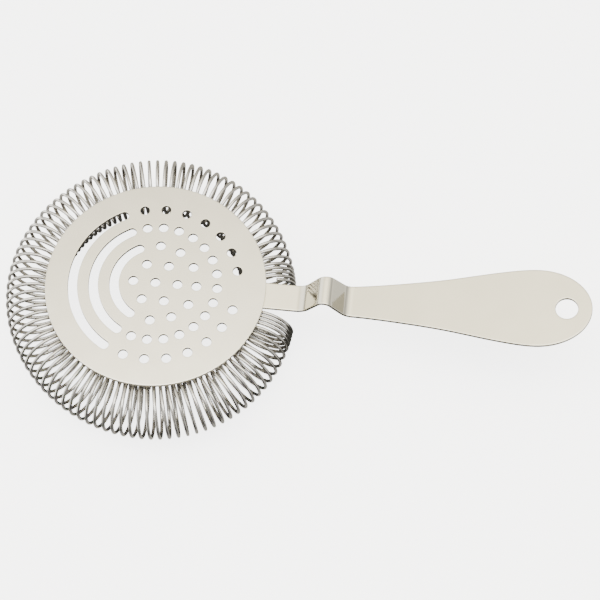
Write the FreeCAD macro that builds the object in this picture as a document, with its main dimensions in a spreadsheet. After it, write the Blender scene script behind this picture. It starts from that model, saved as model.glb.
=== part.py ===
import FreeCAD, Part
import Sketcher
import math
import os

# Hawthorne strainer.  Units are millimetres.  The frame sits at the middle of the strainer
# plate on its top face, +X runs out along the handle and +Z is up, away from the spring.

DOC = FreeCAD.newDocument("strainer")
V = FreeCAD.Vector

SIZES = [
    # plate
    ("plate_radius", 37.75),
    ("plate_gauge", 1.2),
    ("plate_rise", 1.0),
    ("plate_edge_round", 0.35),
    # drain holes, in four rings about the middle
    ("hole_radius", 1.68),
    ("ring_one", 7.6),
    ("ring_two", 14.1),
    ("ring_three", 21.2),
    ("ring_four", 28.3),
    # long curved drain slots on the side away from the handle
    ("slot_half_width", 1.6),
    ("slot_reach", 60.0),
    # handle strip, bent from one blank; each reach is measured outward from the plate's rim
    ("strip_gauge", 1.2),
    ("weld_gap", 0.05),
    ("tang_hole_gap", 1.62),
    ("tang_corner", 1.2),
    ("arm_half_width", 4.8),
    ("crest_reach", 20.4),
    ("crest_flat", 0.2),
    ("crest_top", 6.15),
    ("crest_climb", 55.4),
    ("crest_fall", 50.0),
    ("bend_radius", 1.3),
    ("foot_level", -1.0),
    ("flank_reach", 12.25),
    ("tip_reach", 109.6),
    ("tip_level", 10.35),
    ("grip_half_width", 14.1),
    ("nose_length", 18.35),
    ("hang_from_tip", 8.4),
    ("hang_radius", 3.75),
    # wire spring, wound round a ring that is slightly out of round and set back from the handle
    ("wire_radius", 0.575),
    ("coil_radius", 9.1),
    ("coil_cover", 5.08),
    ("ring_offset", -1.42),
    ("ring_offset_across", -0.18),
    ("ring_oval", 1.15),
    ("ring_oval_heading", 106.0),
    ("ring_skew", 0.58),
    ("ring_skew_heading", 63.4),
    ("coil_rim_gap", 0.2),
    ("turn_gap", 1.525),
    ("lead_turns", 4),
    ("lead_gap", 0.27),
    ("lead_arm_gap", 2.1),
    ("close_turns", 4),
    ("close_gap", 0.16),
    ("close_arm_gap", 1.3),
    # lugs that hold the spring under the rim
    ("lug_count", 6),
    ("lug_first_heading", 22.0),
    ("lug_inset", 1.4),
    ("lug_wire_gap", 0.285),
    ("lug_gauge", 0.45),
    ("lug_width", 1.2),
    ("lug_slack", 0.25),
]

sheet = DOC.addObject("Spreadsheet::Sheet", "Sizes")
row = 1
for alias, value in SIZES:
    cell = "B%d" % row
    sheet.set("A%d" % row, alias)
    sheet.set(cell, str(value))
    sheet.setAlias(cell, alias)
    row = row + 1
DOC.recompute()


def size(alias):
    return float(sheet.get(alias))


def new_body(name):
    body = DOC.addObject("PartDesign::Body", name)
    body.Label = name
    return body


def origin_part(body, role):
    for feature in body.Origin.OriginFeatures:
        if feature.Role == role:
            return feature
    raise RuntimeError("no origin part " + role)


def new_sketch(body, name, role):
    sketch = body.newObject("Sketcher::SketchObject", name)
    sketch.AttachmentSupport = [(origin_part(body, role), "")]
    sketch.MapMode = "FlatFace"
    return sketch


def circle_at(sketch, x, y, radius_alias):
    index = sketch.addGeometry(Part.Circle(V(x, y, 0), V(0, 0, 1), size(radius_alias)), False)
    which = sketch.addConstraint(Sketcher.Constraint("Radius", index, size(radius_alias)))
    sketch.setExpression("Constraints[%d]" % which, "Sizes." + radius_alias)


def closed_outline(sketch, pieces):
    first = sketch.addGeometry(pieces[0], False)
    last = first
    for piece in pieces[1:]:
        index = sketch.addGeometry(piece, False)
        sketch.addConstraint(Sketcher.Constraint("Coincident", last, 2, index, 1))
        last = index
    sketch.addConstraint(Sketcher.Constraint("Coincident", last, 2, first, 1))


def cut_through(body, name, sketch, depth):
    pocket = body.newObject("PartDesign::Pocket", name)
    pocket.Profile = sketch
    pocket.Midplane = True
    pocket.Length = depth
    sketch.Visibility = False
    body.Tip = pocket


# ---------------------------------------------------------------------------
# strainer plate: a shallow dished disc with rings of drain holes
# ---------------------------------------------------------------------------


def dish_level(radius):
    # height of the plate's top face at a distance from the middle
    return -size("plate_rise") * (radius / size("plate_radius")) ** 2


plate = new_body("strainer_plate")
dish = new_sketch(plate, "dish_profile", "XZ_Plane")
rim = size("plate_radius")
gauge = size("plate_gauge")
plate_cut = 4 * (gauge + size("plate_rise"))
steps = 8
rim_slope = 2 * size("plate_rise") / rim
top_points = [V(rim * i / steps, dish_level(rim * i / steps), 0) for i in range(steps + 1)]
low_points = [V(p.x, p.y - gauge, 0) for p in reversed(top_points)]
top_curve = Part.BSplineCurve()
top_curve.interpolate(Points=top_points, InitialTangent=V(1, 0, 0),
                      FinalTangent=V(1, -rim_slope, 0))
low_curve = Part.BSplineCurve()
low_curve.interpolate(Points=low_points, InitialTangent=V(-1, rim_slope, 0),
                      FinalTangent=V(-1, 0, 0))
closed_outline(dish, [
    top_curve,
    Part.LineSegment(top_points[-1], low_points[0]),
    low_curve,
    Part.LineSegment(low_points[-1], top_points[0]),
])
spun = plate.newObject("PartDesign::Revolution", "dish")
spun.Profile = dish
spun.ReferenceAxis = (origin_part(plate, "Z_Axis"), [""])
spun.Angle = 360.0
dish.Visibility = False
plate.Tip = spun
DOC.recompute()

rim_edges = []
for number, edge in enumerate(spun.Shape.Edges, 1):
    box = edge.BoundBox
    if box.XMax > rim - 0.01 and box.ZLength < 0.01:
        rim_edges.append("Edge%d" % number)
rim_round = plate.newObject("PartDesign::Fillet", "rim_round")
rim_round.Base = (spun, rim_edges)
rim_round.Radius = size("plate_edge_round")
rim_round.setExpression("Radius", "Sizes.plate_edge_round")
plate.Tip = rim_round
DOC.recompute()

centre_hole = new_sketch(plate, "centre_hole", "XY_Plane")
circle_at(centre_hole, 0, 0, "hole_radius")
cut_through(plate, "centre_cut", centre_hole, plate_cut)

RINGS = [
    # name, radius size, first angle, holes, angle covered
    ("one", "ring_one", 0.0, 6, 300.0),
    ("two", "ring_two", -90.0, 7, 180.0),
    ("three", "ring_three", -105.0, 15, 210.0),
    ("four_left", "ring_four", 15.0, 7, 90.0),
    ("four_right", "ring_four", -105.0, 7, 90.0),
]
for name, radius_alias, first, count, covered in RINGS:
    holes = new_sketch(plate, "holes_" + name, "XY_Plane")
    for k in range(count):
        turn = math.radians(first + covered * k / (count - 1))
        circle_at(holes, size(radius_alias) * math.cos(turn),
                  size(radius_alias) * math.sin(turn), "hole_radius")
    cut_through(plate, "cut_" + name, holes, plate_cut)

for name, radius_alias in [("two", "ring_two"), ("three", "ring_three"), ("four", "ring_four")]:
    slot = new_sketch(plate, "slot_" + name, "XY_Plane")
    middle = size(radius_alias)
    half = size("slot_half_width")
    low = math.radians(180.0 - size("slot_reach"))
    high = math.radians(180.0 + size("slot_reach"))
    outer = Part.ArcOfCircle(Part.Circle(V(0, 0, 0), V(0, 0, 1), middle + half), low, high)
    end_b = Part.ArcOfCircle(
        Part.Circle(V(middle * math.cos(high), middle * math.sin(high), 0), V(0, 0, 1), half),
        high, high + math.pi)
    inner = Part.ArcOfCircle(Part.Circle(V(0, 0, 0), V(0, 0, 1), middle - half), low, high)
    end_a = Part.ArcOfCircle(
        Part.Circle(V(middle * math.cos(low), middle * math.sin(low), 0), V(0, 0, 1), half),
        low + math.pi, low + 2 * math.pi)
    for piece in (outer, end_b, inner, end_a):
        slot.addGeometry(piece, False)
    slot.addConstraint(Sketcher.Constraint("Coincident", 0, 2, 1, 1))
    slot.addConstraint(Sketcher.Constraint("Coincident", 1, 2, 2, 2))
    slot.addConstraint(Sketcher.Constraint("Coincident", 2, 1, 3, 1))
    slot.addConstraint(Sketcher.Constraint("Coincident", 3, 2, 0, 1))
    cut_through(plate, "slot_cut_" + name, slot, plate_cut)
DOC.recompute()

# ---------------------------------------------------------------------------
# handle: one strip, welded under the plate, bridged over a tin's rim, then a long grip
# ---------------------------------------------------------------------------

handle = new_body("handle")
strip = size("strip_gauge")


def under_plate(radius):
    return dish_level(radius) - gauge - size("weld_gap")


# plan of the blank
arm = size("arm_half_width")
wide = size("grip_half_width")
start = size("ring_three") + size("hole_radius") + size("tang_hole_gap")
flank_start = rim + size("flank_reach")
tip = rim + size("tip_reach")
widest = tip - size("nose_length")

# side view: the arm lies level with the rim, climbs over the bridge and comes down to the foot,
# and the corners of the bridge stand where its bends leave the flat of the crest
arm_level = under_plate(rim)
crest_middle = rim + size("crest_reach")
climb = math.radians(size("crest_climb"))
fall = math.radians(size("crest_fall"))
outer_bend = size("bend_radius") + strip
crest_start = crest_middle - size("crest_flat") / 2 - outer_bend * math.tan(climb / 2)
crest_end = crest_middle + size("crest_flat") / 2 + outer_bend * math.tan(fall / 2)
bridge_start = crest_start - (size("crest_top") - arm_level) / math.tan(climb)
foot = crest_end + (size("crest_top") - size("foot_level")) / math.tan(fall)
grip_slope = (size("tip_level") - size("foot_level")) / (tip - foot)
past_tip = tip + 0.5
SPINE = [
    V(start, under_plate(math.hypot(start, arm)), 0),
    V(rim, arm_level, 0),
    V(bridge_start, arm_level, 0),
    V(crest_start, size("crest_top"), 0),
    V(crest_end, size("crest_top"), 0),
    V(foot, size("foot_level"), 0),
    V(past_tip, size("foot_level") + grip_slope * (past_tip - foot), 0),
]


def below(points, thickness):
    # the lower line of a bent strip: each corner moved square to both of its straights
    result = []
    count = len(points)
    for i in range(count):
        normals = []
        if i > 0:
            d = points[i] - points[i - 1]
            d.normalize()
            normals.append(V(d.y, -d.x, 0))
        if i < count - 1:
            d = points[i + 1] - points[i]
            d.normalize()
            normals.append(V(d.y, -d.x, 0))
        if len(normals) == 1:
            result.append(points[i] + normals[0] * thickness)
        else:
            both = normals[0] + normals[1]
            both.normalize()
            result.append(points[i] + both * (thickness / both.dot(normals[0])))
    return result


LOWER = below(SPINE, strip)
side = new_sketch(handle, "side_profile", "XZ_Plane")
loop = SPINE + list(reversed(LOWER))
lines = []
for i in range(len(loop)):
    lines.append(Part.LineSegment(loop[i], loop[(i + 1) % len(loop)]))
closed_outline(side, lines)
bar = handle.newObject("PartDesign::Pad", "bent_bar")
bar.Profile = side
bar.Midplane = True
bar.Length = 2 * wide + 4
bar.setExpression("Length", "2 * Sizes.grip_half_width + 4")
side.Visibility = False
handle.Tip = bar
DOC.recompute()


def bend_edges(shape, points):
    found = []
    for number, edge in enumerate(shape.Edges, 1):
        box = edge.BoundBox
        if box.YLength < wide or box.XLength > 0.01 or box.ZLength > 0.01:
            continue
        for p in points:
            if abs(box.XMin - p.x) < 0.01 and abs(box.ZMin - p.y) < 0.01:
                found.append("Edge%d" % number)
    return found


inside = [SPINE[2], LOWER[3], LOWER[4], SPINE[5]]
outside = [LOWER[2], SPINE[3], SPINE[4], LOWER[5]]
inner_bends = handle.newObject("PartDesign::Fillet", "inner_bends")
inner_bends.Base = (bar, bend_edges(bar.Shape, inside))
inner_bends.Radius = size("bend_radius")
inner_bends.setExpression("Radius", "Sizes.bend_radius")
handle.Tip = inner_bends
DOC.recompute()
outer_bends = handle.newObject("PartDesign::Fillet", "outer_bends")
outer_bends.Base = (inner_bends, bend_edges(inner_bends.Shape, outside))
outer_bends.Radius = size("bend_radius") + strip
outer_bends.setExpression("Radius", "Sizes.bend_radius + Sizes.strip_gauge")
handle.Tip = outer_bends
DOC.recompute()

# how the blank widens: share of the way along the flank, share of the way from arm to grip
FLANK = [
    (0.0, 0.0), (0.089, 0.035), (0.228, 0.095), (0.43, 0.268), (0.633, 0.515), (0.734, 0.68),
    (0.886, 0.912), (1.0, 1.0),
]
flank_points = []
for run, share in FLANK:
    x = flank_start + run * (widest - flank_start)
    flank_points.append(V(x, arm + share * (wide - arm), 0))
left = Part.BSplineCurve()
left.interpolate(Points=flank_points, InitialTangent=V(1, 0, 0), FinalTangent=V(1, 0, 0))
mirrored = [V(p.x, -p.y, 0) for p in reversed(flank_points)]
right = Part.BSplineCurve()
right.interpolate(Points=mirrored, InitialTangent=V(-1, 0, 0), FinalTangent=V(-1, 0, 0))
nose = Part.Ellipse(V(tip, 0, 0), V(widest, wide, 0), V(widest, 0, 0))
nose_arc = Part.ArcOfEllipse(nose, -math.pi / 2, math.pi / 2)
corner = size("tang_corner")
plan = new_sketch(handle, "plan_outline", "XY_Plane")
outline = [
    Part.LineSegment(V(start + corner, arm, 0), V(flank_start, arm, 0)),
    left,
    nose_arc,
    right,
    Part.LineSegment(V(flank_start, -arm, 0), V(start + corner, -arm, 0)),
    Part.ArcOfCircle(Part.Circle(V(start + corner, -arm + corner, 0), V(0, 0, 1), corner),
                     math.pi, 1.5 * math.pi),
    Part.LineSegment(V(start, -arm + corner, 0), V(start, arm - corner, 0)),
    Part.ArcOfCircle(Part.Circle(V(start + corner, arm - corner, 0), V(0, 0, 1), corner),
                     0.5 * math.pi, math.pi),
]
for piece in outline:
    plan.addGeometry(piece, False)
far = wide + 10
near_x = start - 10
far_x = tip + 10
frame_points = [V(near_x, -far, 0), V(far_x, -far, 0), V(far_x, far, 0), V(near_x, far, 0)]
for i in range(4):
    plan.addGeometry(Part.LineSegment(frame_points[i], frame_points[(i + 1) % 4]), False)
cut_through(handle, "trim_to_plan", plan, 4 * (size("crest_top") + size("tip_level")))
DOC.recompute()

hang_centre = tip - size("hang_from_tip")
hang_level = size("foot_level") + grip_slope * (hang_centre - foot)
hang = new_sketch(handle, "hang_hole", "XY_Plane")
hang.AttachmentOffset = FreeCAD.Placement(
    V(hang_centre, 0, hang_level),
    FreeCAD.Rotation(V(0, 1, 0), -math.degrees(math.atan(grip_slope))))
circle_at(hang, 0, 0, "hang_radius")
cut_through(handle, "hang_cut", hang, 6 * strip)
DOC.recompute()

# ---------------------------------------------------------------------------
# wire spring: one wire wound round a ring that lies under the plate's rim
# ---------------------------------------------------------------------------

coil = size("coil_radius")
wire = size("wire_radius")
mean_ring = rim + coil - size("coil_cover")
lead = int(size("lead_turns"))
close = int(size("close_turns"))
# the crowded turns at both ends of the wire fan out by this share of the headings they stand at
END_FAN = 0.35
crowded_reach = mean_ring - END_FAN * coil
lead_pitch = math.degrees((2 * wire + size("lead_gap")) / crowded_reach)
close_pitch = math.degrees((2 * wire + size("close_gap")) / crowded_reach)
# the ring runs from one side of the arm to the other
first_tip = math.degrees(math.asin((arm + size("lead_arm_gap")) / mean_ring)) + lead * lead_pitch
last_tip = 360.0 - math.degrees(math.asin((arm + size("close_arm_gap")) / mean_ring))


def ring_at(heading):
    oval = size("ring_oval") * math.cos(2 * math.radians(heading - size("ring_oval_heading")))
    skew = size("ring_skew") * math.cos(3 * math.radians(heading - size("ring_skew_heading")))
    return mean_ring + oval + skew


def ring_middle(heading):
    # the ring hangs so that every turn clears the lower corner of the plate's rim
    x = ring_at(heading) * math.cos(math.radians(heading)) + size("ring_offset")
    y = ring_at(heading) * math.sin(math.radians(heading)) + size("ring_offset_across")
    reach = math.hypot(x, y) - rim
    clear = coil + wire + size("coil_rim_gap")
    return V(x, y, dish_level(rim) - gauge - math.sqrt(clear * clear - reach * reach))


def tip_headings():
    # where each turn's outermost point stands; the open turns are spaced a little unevenly
    span = last_tip - first_tip - close * close_pitch
    count = int(round(math.radians(span) * mean_ring / (2 * wire + size("turn_gap"))))
    spaces = []
    heading = first_tip
    for k in range(count):
        spaces.append(1.0 + 0.065 * math.cos(2 * math.radians(heading - 15.0)))
        heading = heading + spaces[-1] * span / count
    scale = span / sum(spaces)
    result = [first_tip - lead_pitch * (lead - k) for k in range(lead + 1)]
    for space in spaces:
        result.append(result[-1] + space * scale)
    for k in range(close):
        result.append(result[-1] + close_pitch)
    return result


TIPS = tip_headings()
OPEN_FIRST = TIPS[lead]
OPEN_LAST = TIPS[len(TIPS) - 1 - close]


def heading_at(turn):
    k = int(math.floor(turn))
    k = max(0, min(len(TIPS) - 2, k))
    return TIPS[k] + (TIPS[k + 1] - TIPS[k]) * (turn - k)


def smooth_heading(turn):
    total = 0.0
    for shift in (-0.5, -0.25, 0.0, 0.25, 0.5):
        total = total + heading_at(turn + shift)
    return total / 5.0


def heading_faced(heading):
    # the crowded turns at the ends lie nearly parallel instead of fanning out
    if heading > OPEN_LAST:
        return OPEN_LAST + END_FAN * (heading - OPEN_LAST)
    if heading < OPEN_FIRST:
        return OPEN_FIRST + END_FAN * (heading - OPEN_FIRST)
    return heading


def wire_at(turn):
    heading = smooth_heading(turn)
    facing = math.radians(heading_faced(heading))
    swing = -2 * math.pi * turn
    along = coil * math.cos(swing)
    out = V(along * math.cos(facing), along * math.sin(facing), coil * math.sin(swing))
    return ring_middle(heading) + out


START_TURN = -0.2
END_TURN = len(TIPS) - 1 + 0.5
PER_TURN = 12
count = int(round((END_TURN - START_TURN) * PER_TURN))
turns = [START_TURN + (END_TURN - START_TURN) * i / count for i in range(count + 1)]
half_root = math.sqrt(0.5)
# control points of an exact circle, as multiples of its radius
CIRCLE = [(1, 0), (1, 1), (0, 1), (-1, 1), (-1, 0), (-1, -1), (0, -1), (1, -1), (1, 0)]
WEIGHTS = [1, half_root, 1, half_root, 1, half_root, 1, half_root, 1]
tracks = [[] for point in CIRCLE]
for turn in turns:
    here = wire_at(turn)
    ahead = wire_at(turn + 0.001) - wire_at(turn - 0.001)
    ahead.normalize()
    out = here - ring_middle(smooth_heading(turn))
    out = out - ahead * out.dot(ahead)
    out.normalize()
    across = ahead.cross(out)
    for j in range(len(CIRCLE)):
        a, b = CIRCLE[j]
        tracks[j].append(here + out * (wire * a) + across * (wire * b))
curves = []
for track in tracks:
    curve = Part.BSplineCurve()
    curve.interpolate(Points=track, Parameters=turns)
    curves.append(curve)
poles = [[curves[j].getPole(i + 1) for j in range(9)] for i in range(curves[0].NbPoles)]
weights = [list(WEIGHTS) for i in range(curves[0].NbPoles)]
skin = Part.BSplineSurface()
skin.buildFromPolesMultsKnots(poles, curves[0].getMultiplicities(), [3, 2, 2, 2, 3],
                              curves[0].getKnots(), [0.0, 0.25, 0.5, 0.75, 1.0],
                              False, False, 3, 2, weights)
faces = []
cuts = [turns[0]]
for i in range(PER_TURN, count - PER_TURN // 2, PER_TURN):
    # one face to each turn of wire
    cuts.append(turns[i])
cuts.append(turns[-1])
for i in range(len(cuts) - 1):
    piece = skin.copy()
    piece.segment(cuts[i], cuts[i + 1], 0.0, 1.0)
    faces.append(piece.toShape())
for turn in (turns[0], turns[-1]):
    faces.append(Part.Face(Part.Wire([skin.uIso(turn).toShape()])))
shell = Part.makeShell(faces)
shell.sewShape()
solid = Part.Solid(shell)
if solid.Volume < 0:
    solid = Part.Solid(shell.reversed())
spring = DOC.addObject("Part::Feature", "coil_spring")
spring.Label = "coil_spring"
spring.Shape = solid

# ---------------------------------------------------------------------------
# lugs: small hoops welded under the rim, each round one turn of the wire
# ---------------------------------------------------------------------------

lug_total = int(size("lug_count"))
lug_half = size("lug_width") / 2
r_in = wire + size("lug_wire_gap")
r_out = r_in + size("lug_gauge")


def where_turn_reaches(turn, reach):
    # the point of one turn, between its top and its inner side, at a distance from the middle
    points = [wire_at(turn - 0.25 - 0.25 * j / 60.0) for j in range(61)]
    return min(points, key=lambda p: abs(math.hypot(p.x, p.y) - reach))


lug_places = []
for k in range(lug_total):
    first_lug = size("lug_first_heading")
    wanted = first_lug + k * (360.0 - 2 * first_lug) / (lug_total - 1)
    nearest = min(range(lead, len(TIPS) - 2 * close), key=lambda i: abs(TIPS[i] - wanted))
    middle = where_turn_reaches(nearest, rim - size("lug_inset"))
    inner = where_turn_reaches(nearest, rim - size("lug_inset") - lug_half)
    # a wire that slopes through the hoop hangs lower in it by the slant of its section
    slope = math.atan2(middle.z - inner.z, lug_half)
    lug_places.append((middle, inner.z - wire * (1 / math.cos(slope) - 1)))
# all hoops are alike, and long enough for the turn that hangs lowest
leg_top = under_plate(math.hypot(rim - size("lug_inset") + lug_half, r_out))
leg = leg_top - min(lowest for p, lowest in lug_places) + size("lug_slack")

lugs = []
for k in range(lug_total):
    p = lug_places[k][0]
    turned = math.degrees(math.atan2(p.y, p.x))
    lug = new_body("spring_lug_%d" % (k + 1))
    hoop = new_sketch(lug, "hoop_profile_%d" % (k + 1), "YZ_Plane")
    pieces = [
        Part.LineSegment(V(-r_out, leg, 0), V(-r_out, 0, 0)),
        Part.ArcOfCircle(Part.Circle(V(0, 0, 0), V(0, 0, 1), r_out), math.pi, 2 * math.pi),
        Part.LineSegment(V(r_out, 0, 0), V(r_out, leg, 0)),
        Part.LineSegment(V(r_out, leg, 0), V(r_in, leg, 0)),
        Part.LineSegment(V(r_in, leg, 0), V(r_in, 0, 0)),
        Part.ArcOfCircle(Part.Circle(V(0, 0, 0), V(0, 0, 1), r_in), math.pi, 2 * math.pi),
        Part.LineSegment(V(-r_in, 0, 0), V(-r_in, leg, 0)),
        Part.LineSegment(V(-r_in, leg, 0), V(-r_out, leg, 0)),
    ]
    for piece in pieces:
        hoop.addGeometry(piece, False)
    strap = lug.newObject("PartDesign::Pad", "hoop_%d" % (k + 1))
    strap.Profile = hoop
    strap.Midplane = True
    strap.Length = size("lug_width")
    strap.setExpression("Length", "Sizes.lug_width")
    hoop.Visibility = False
    lug.Tip = strap
    lug.Placement = FreeCAD.Placement(V(p.x, p.y, leg_top - leg),
                                      FreeCAD.Rotation(V(0, 0, 1), turned))
    lugs.append(lug)
DOC.recompute()

# ---------------------------------------------------------------------------
# checks and files
# ---------------------------------------------------------------------------

for thing in DOC.Objects:
    for word in ("Invalid", "Error"):
        if word in thing.State:
            raise RuntimeError(thing.Name + " " + word)
    shape = getattr(thing, "Shape", None)
    if shape is None or thing.isDerivedFrom("App::OriginFeature"):
        continue
    if shape.isNull() or not shape.isValid():
        raise RuntimeError(thing.Name + " has a bad shape")

os.makedirs("parts", exist_ok=True)
for node in [plate, handle, spring] + lugs:
    shape = node.Shape
    if len(shape.Solids) != 1:
        raise RuntimeError(node.Label + " is not one solid")
    shape.exportStep("parts/" + node.Label + ".step")
    box = shape.BoundBox
    print("%-16s %9.2f mm3  x %7.2f %7.2f  y %7.2f %7.2f  z %7.2f %7.2f" % (
        node.Label, shape.Volume, box.XMin, box.XMax, box.YMin, box.YMax, box.ZMin, box.ZMax))
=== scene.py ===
import math

import bpy
import numpy as np
from mathutils import Matrix, Vector
from mathutils.geometry import delaunay_2d_cdt


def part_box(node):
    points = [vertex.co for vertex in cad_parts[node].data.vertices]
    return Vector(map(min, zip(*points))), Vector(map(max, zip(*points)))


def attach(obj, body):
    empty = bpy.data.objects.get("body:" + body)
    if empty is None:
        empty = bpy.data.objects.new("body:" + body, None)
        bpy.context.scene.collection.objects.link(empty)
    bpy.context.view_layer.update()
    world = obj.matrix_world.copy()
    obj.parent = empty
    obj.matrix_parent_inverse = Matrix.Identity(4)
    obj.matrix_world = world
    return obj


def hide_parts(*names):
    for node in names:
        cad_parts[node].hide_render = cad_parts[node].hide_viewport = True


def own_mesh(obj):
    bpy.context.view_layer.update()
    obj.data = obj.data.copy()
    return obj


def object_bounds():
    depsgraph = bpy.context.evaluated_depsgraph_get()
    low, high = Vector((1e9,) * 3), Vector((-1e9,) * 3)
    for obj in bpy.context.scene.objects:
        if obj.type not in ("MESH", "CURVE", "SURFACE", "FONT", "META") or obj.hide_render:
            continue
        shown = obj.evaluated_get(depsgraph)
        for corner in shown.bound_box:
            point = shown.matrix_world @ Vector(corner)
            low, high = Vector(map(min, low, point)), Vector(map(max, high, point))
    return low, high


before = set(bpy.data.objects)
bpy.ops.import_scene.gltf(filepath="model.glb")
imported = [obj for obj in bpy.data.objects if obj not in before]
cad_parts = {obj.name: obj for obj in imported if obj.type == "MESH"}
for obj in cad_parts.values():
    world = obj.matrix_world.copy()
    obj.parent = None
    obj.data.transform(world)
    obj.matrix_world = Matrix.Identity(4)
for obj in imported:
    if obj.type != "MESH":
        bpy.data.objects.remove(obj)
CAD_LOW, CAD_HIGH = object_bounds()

bl_info = {
    "name": "Hawthorne strainer",
    "version": (1, 0, 0),
    "blender": (4, 5, 0),
    "location": "View3D > Sidebar > Strainer",
    "description": "Builds the pressed plate, bent handle, wire spring and lugs of a bar strainer",
    "category": "Object",
}

MM = 0.001
STRAINER = "strainer"
COIL = "coil"
LUGS = ["spring_lug_%d" % (k + 1) for k in range(6)]


# ---------------------------------------------------------------------------
# sizes and colours that a user may change
# ---------------------------------------------------------------------------

def length(name, text, default):
    return bpy.props.FloatProperty(name=name, description=text, default=default, min=0.0,
                                   subtype="DISTANCE", unit="LENGTH", precision=5)


def angle(name, text, degrees):
    return bpy.props.FloatProperty(name=name, description=text, default=math.radians(degrees),
                                   subtype="ANGLE", unit="ROTATION")


def colour(name, text, default):
    return bpy.props.FloatVectorProperty(name=name, description=text, default=default, size=4,
                                         min=0.0, max=1.0, subtype="COLOR")


def share(name, text, default):
    return bpy.props.FloatProperty(name=name, description=text, default=default, min=0.0,
                                   max=1.0, subtype="FACTOR")


class PlateSizes(bpy.types.PropertyGroup):
    radius: length("Radius", "Outer radius of the strainer plate", 37.75 * MM)
    gauge: length("Gauge", "Sheet thickness of the plate", 1.2 * MM)
    rise: length("Rise", "How far the middle stands above the rim", 1.0 * MM)
    edge: length("Edge round", "Rounding of the rim's edges", 0.16 * MM)
    hole: length("Hole radius", "Radius of each drain hole", 1.68 * MM)
    hole_edge: length("Hole edge", "Rounding round each hole and slot", 0.08 * MM)
    slot: length("Slot half width", "Half the width of each curved slot", 1.6 * MM)
    slot_reach: angle("Slot reach", "How far each slot runs either side of its middle", 60.0)
    mesh_step: length("Mesh step", "Distance between points on the flat faces", 1.5 * MM)


class HandleSizes(bpy.types.PropertyGroup):
    gauge: length("Gauge", "Thickness of the handle strip", 1.2 * MM)
    arm: length("Arm half width", "Half the width of the arm and tang", 4.8 * MM)
    grip: length("Grip half width", "Half the width of the grip at its widest", 14.1 * MM)
    widest: length("Widest at", "Distance from the plate's middle to the widest place", 129 * MM)
    tip: length("Tip", "Distance from the plate's middle to the grip's tip", 147.35 * MM)
    bend: length("Bend radius", "Inside radius of the bridge's bends", 1.9 * MM)
    edge: length("Edge round", "Rounding of the strip's edges", 0.28 * MM)
    hang: length("Hang hole radius", "Radius of the hanging hole", 3.75 * MM)
    hang_at: length("Hang hole", "Distance from the plate's middle to the hole", 138.95 * MM)


class SpringSizes(bpy.types.PropertyGroup):
    wire: length("Wire radius", "Radius of the spring wire", 0.575 * MM)
    coil: length("Coil radius", "Radius of each turn at the wire's middle", 9.1 * MM)
    ring: length("Ring radius", "Mean radius of the ring that the turns follow", 41.77 * MM)
    offset: length("Ring offset", "How far the ring's middle is set back", 1.42 * MM)
    across: length("Ring shift", "How far the ring's middle is set aside", 0.18 * MM)
    oval: length("Oval", "How far the ring is from round, in two lobes", 1.15 * MM)
    skew: length("Skew", "How far the ring is from round, in three lobes", 0.58 * MM)
    gap: length("Rim gap", "Clearance between the turns and the plate's rim", 0.2 * MM)
    space: length("Turn gap", "Clear space between open turns along the ring", 1.525 * MM)
    sides: bpy.props.IntProperty(name="Sides", description="Faces round the wire",
                                 default=12, min=6)
    steps: bpy.props.IntProperty(name="Steps", description="Faces along one turn",
                                 default=60, min=12)


class Finishes(bpy.types.PropertyGroup):
    plate: colour("Plate steel", "Satin steel of the plate", (0.82, 0.785, 0.675, 1))
    handle: colour("Handle steel", "Satin steel of the handle", (0.85, 0.805, 0.66, 1))
    wire: colour("Spring wire", "Bright drawn wire", (0.62, 0.60, 0.555, 1))
    lug: colour("Lug steel", "Small hoops under the rim", (0.62, 0.6, 0.57, 1))
    floor: colour("Floor", "Pale studio floor", (0.9, 0.9, 0.9, 1))
    under: colour("Mirrored shade", "Shade under the strainer, as the steel shows it",
                  (0.085, 0.083, 0.075, 1))
    plate_rough: share("Plate roughness", "How satin the plate is", 0.24)
    handle_rough: share("Handle roughness", "How satin the handle is", 0.16)
    wire_rough: share("Wire roughness", "How satin the wire is", 0.16)


# ---------------------------------------------------------------------------
# shared helpers
# ---------------------------------------------------------------------------

def add_piece(name, points, faces, body, nodes, material):
    """A smooth mesh that rides on a body and stands for CAD nodes."""
    mesh = bpy.data.meshes.new(name)
    mesh.from_pydata([tuple(p) for p in points], [], faces)
    mesh.validate()
    mesh.update()
    piece = bpy.data.objects.new(name, mesh)
    bpy.context.scene.collection.objects.link(piece)
    mesh.shade_smooth()
    mesh.materials.append(material)
    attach(piece, body)
    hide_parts(*nodes)
    return piece


def circle_loop(x, y, radius, count):
    turns = np.arange(count) * 2 * math.pi / count
    return np.stack([x + radius * np.cos(turns), y + radius * np.sin(turns)], 1)


def anticlockwise(loop):
    area = np.sum(loop[:, 0] * np.roll(loop[:, 1], -1) - np.roll(loop[:, 0], -1) * loop[:, 1])
    return area > 0


def outward(loop, hole):
    """Unit vectors that point away from the material, one per point of a closed loop."""
    along = np.roll(loop, -1, 0) - np.roll(loop, 1, 0)
    along /= np.linalg.norm(along, axis=1)[:, None]
    left = np.stack([along[:, 1], -along[:, 0]], 1)
    if not anticlockwise(loop):
        left = -left
    return -left if hole else left


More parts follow.
